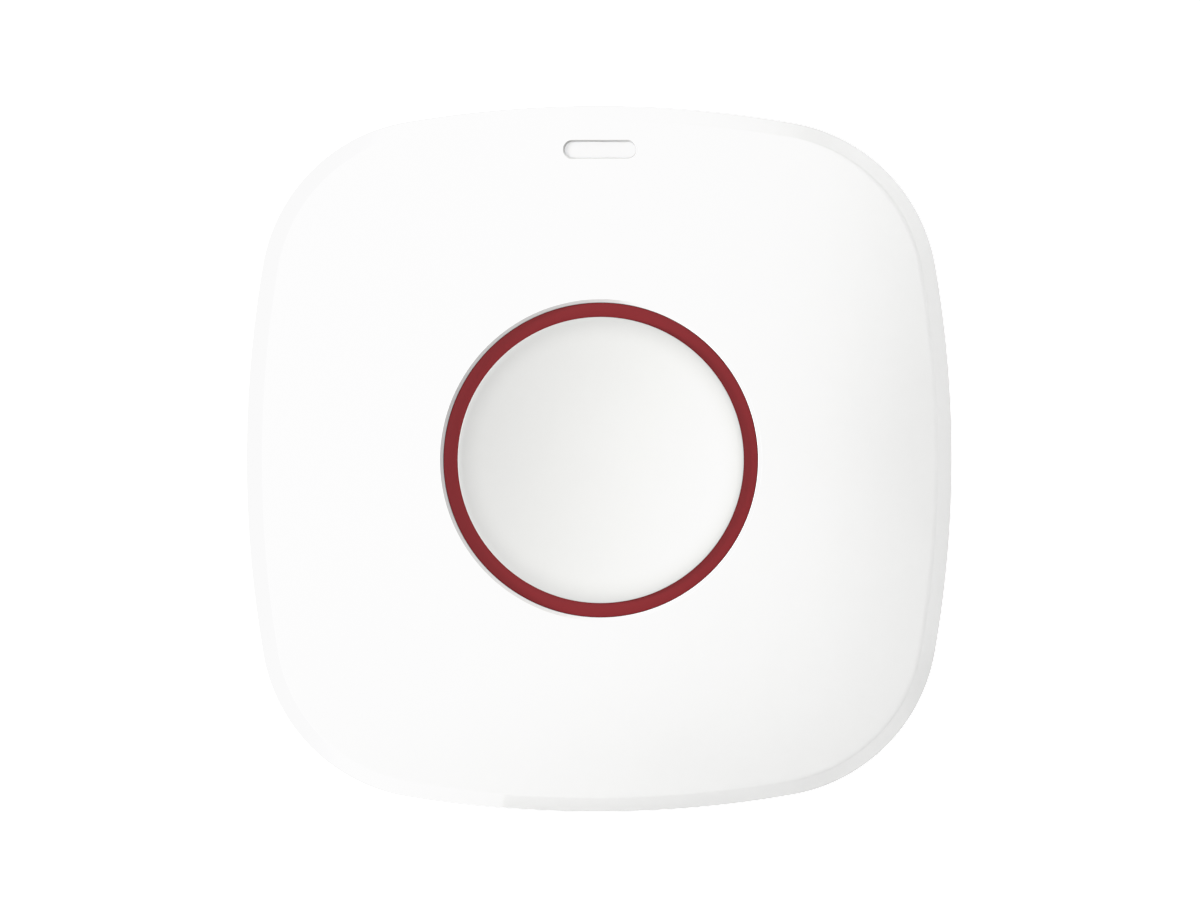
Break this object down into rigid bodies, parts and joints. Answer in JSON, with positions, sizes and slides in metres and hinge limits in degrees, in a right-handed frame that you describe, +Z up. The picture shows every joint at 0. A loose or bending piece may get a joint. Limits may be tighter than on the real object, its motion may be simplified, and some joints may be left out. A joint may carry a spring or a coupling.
{
  "type": "wireless panic button",
  "caption": "Wall-hung wireless panic button: domed rounded-square white housing, red-ringed dished push button, indicator slot, and a screw-on wall plate that it hooks onto.",
  "frame": {"origin": "centre of the wall plate's back face, on the surface of the wall", "axes": "+Z up as it hangs with its light slot at the top, +Y into the wall, -Y out of its face, +X to the right as one looks at the face"},
  "size_m": [0.082, 0.023, 0.082],
  "materials": {
    "cover_white": "gloss",
    "housing_white": "fine spark-eroded texture",
    "cap_white": "satin",
    "button_red": "satin",
    "light_guide_white": "milky",
    "screw_steel": "zinc plated",
    "spring_steel": "drawn wire",
    "contact_steel": "nickel plated",
    "cell_steel": "bright",
    "board_green": "solder mask",
    "switch_black": "matt",
    "plunger_black": "satin",
    "holder_black": "matt",
    "chip_black": "matt",
    "shield_tin": "tinned",
    "capacitor_can": "satin",
    "ceramic_tan": "fired ceramic",
    "led_resin": "clear resin",
    "pad_rubber": "matt"
  },
  "bodies": {
    "wall_mount": {"wall_plate": "housing_white"},
    "housing": {"rear_housing": "housing_white", "front_cover": "cover_white", "housing_screws": "screw_steel", "circuit_board": "board_green", "return_spring": "spring_steel", "alarm_switch_base": "switch_black", "alarm_switch_frame": "contact_steel", "alarm_switch_terminals": "contact_steel", "tamper_switch_base": "switch_black", "tamper_switch_frame": "contact_steel", "tamper_switch_terminals": "contact_steel", "light_guide": "light_guide_white", "indicator_led": "led_resin", "battery": "cell_steel", "battery_holder": "holder_black", "battery_contact_positive": "contact_steel", "battery_contact_negative": "contact_steel", "microcontroller": "chip_black", "radio_shield": "shield_tin", "radio_antenna": "shield_tin", "crystal": "shield_tin", "buffer_capacitor": "capacitor_can", "programming_header": "switch_black", "chip_parts": "ceramic_tan"},
    "button": {"button_cap": "cap_white", "button_body": "button_red", "switch_pad": "pad_rubber"},
    "alarm_plunger": {"alarm_switch_plunger": "plunger_black"},
    "tamper": {"tamper_plunger": "plunger_black"}
  },
  "joints": [
    {"name": "housing_release", "type": "slide", "parent": "wall_mount", "child": "housing", "axis": [0, 0, 1], "range_m": [0, 0.005]},
    {"name": "button_press", "type": "slide", "parent": "housing", "child": "button", "axis": [0, 1, 0], "range_m": [0, 0.001], "stiffness_N_per_m": 1500, "springref_m": -0.0007, "deforming": ["return_spring"]},
    {"name": "alarm_switch_press", "type": "slide", "parent": "housing", "child": "alarm_plunger", "axis": [0, 1, 0], "range_m": [0, 0.0005]},
    {"name": "tamper_switch_release", "type": "slide", "parent": "housing", "child": "tamper", "axis": [0, 1, 0], "range_m": [0, 0.001]}
  ],
  "couplings": [
    {"joint": "alarm_switch_press", "follows": "button_press", "ratio": 0.5},
    {"joint": "tamper_switch_release", "follows": "housing_release", "ratio": 0.2}
  ]
}
